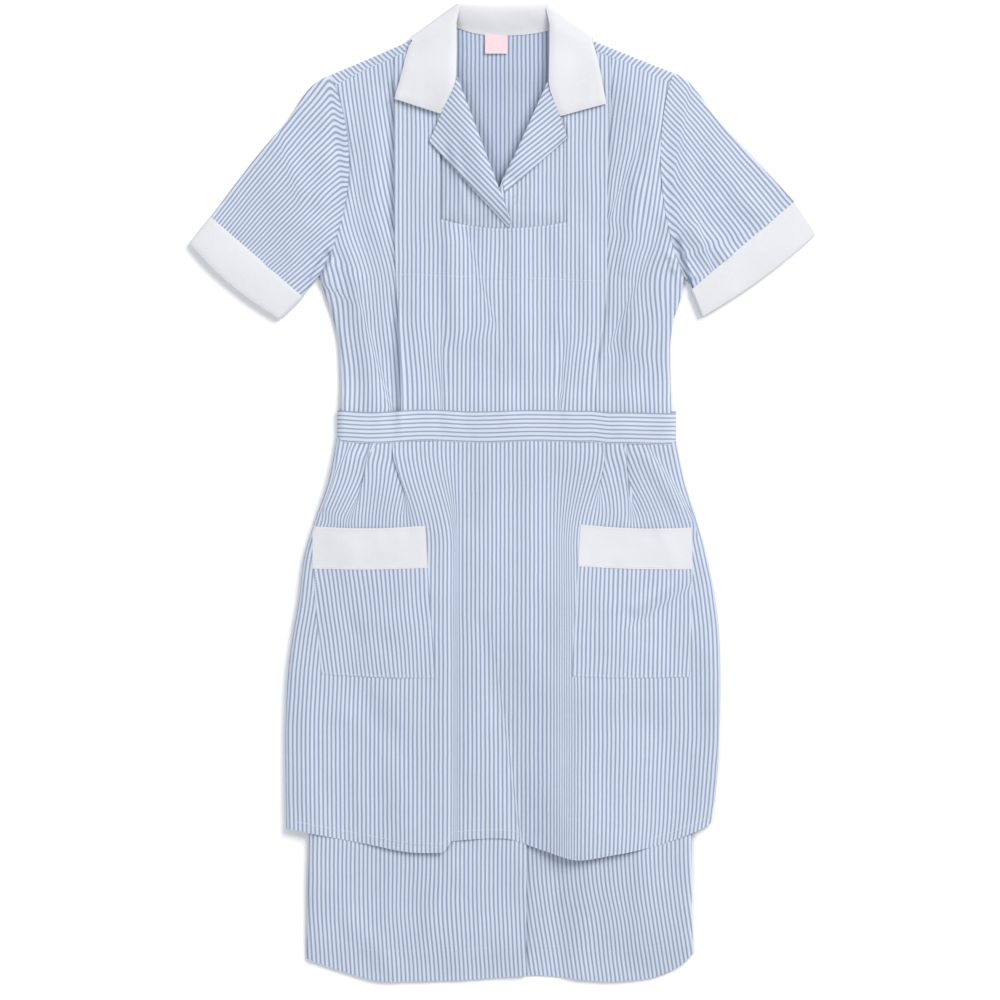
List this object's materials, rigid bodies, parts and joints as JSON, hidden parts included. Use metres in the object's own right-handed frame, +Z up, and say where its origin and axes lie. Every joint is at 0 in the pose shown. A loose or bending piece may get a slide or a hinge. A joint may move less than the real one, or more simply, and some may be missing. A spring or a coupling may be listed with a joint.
{
  "type": "maid uniform",
  "caption": "Short-sleeved striped maid's dress with white collar and cuffs and a bib apron with patch pockets, laid flat on its back.",
  "frame": {"origin": "centre of the laid garment's outline, on the surface it lies on", "axes": "+X across the garment to the right as seen from above, +Y from the hem up to the collar, +Z up from the surface through the front"},
  "size_m": [0.702, 1.0949, 0.0204],
  "materials": {
    "striped_cloth": "matte poly-cotton with fine pale blue and white stripes",
    "white_cloth": "matte white poly-cotton, interlined",
    "label_satin": "pale pink satin tape, blank"
  },
  "bodies": {
    "root": {"back": "striped_cloth", "yoke_back": "striped_cloth", "yoke_left": "striped_cloth", "yoke_right": "striped_cloth", "front_left": "striped_cloth", "front_right": "striped_cloth", "lapel_left": "striped_cloth", "lapel_right": "striped_cloth", "sleeve_left": "striped_cloth", "sleeve_right": "striped_cloth", "cuff_left": "white_cloth", "cuff_right": "white_cloth", "collar_fall": "white_cloth", "collar_stand": "white_cloth", "bib": "striped_cloth", "waistband_front": "striped_cloth", "waistband_back": "striped_cloth", "apron_skirt": "striped_cloth", "pocket_left": "striped_cloth", "pocket_right": "striped_cloth", "pocket_band_left": "white_cloth", "pocket_band_right": "white_cloth", "label": "label_satin"}
  },
  "joints": []
}
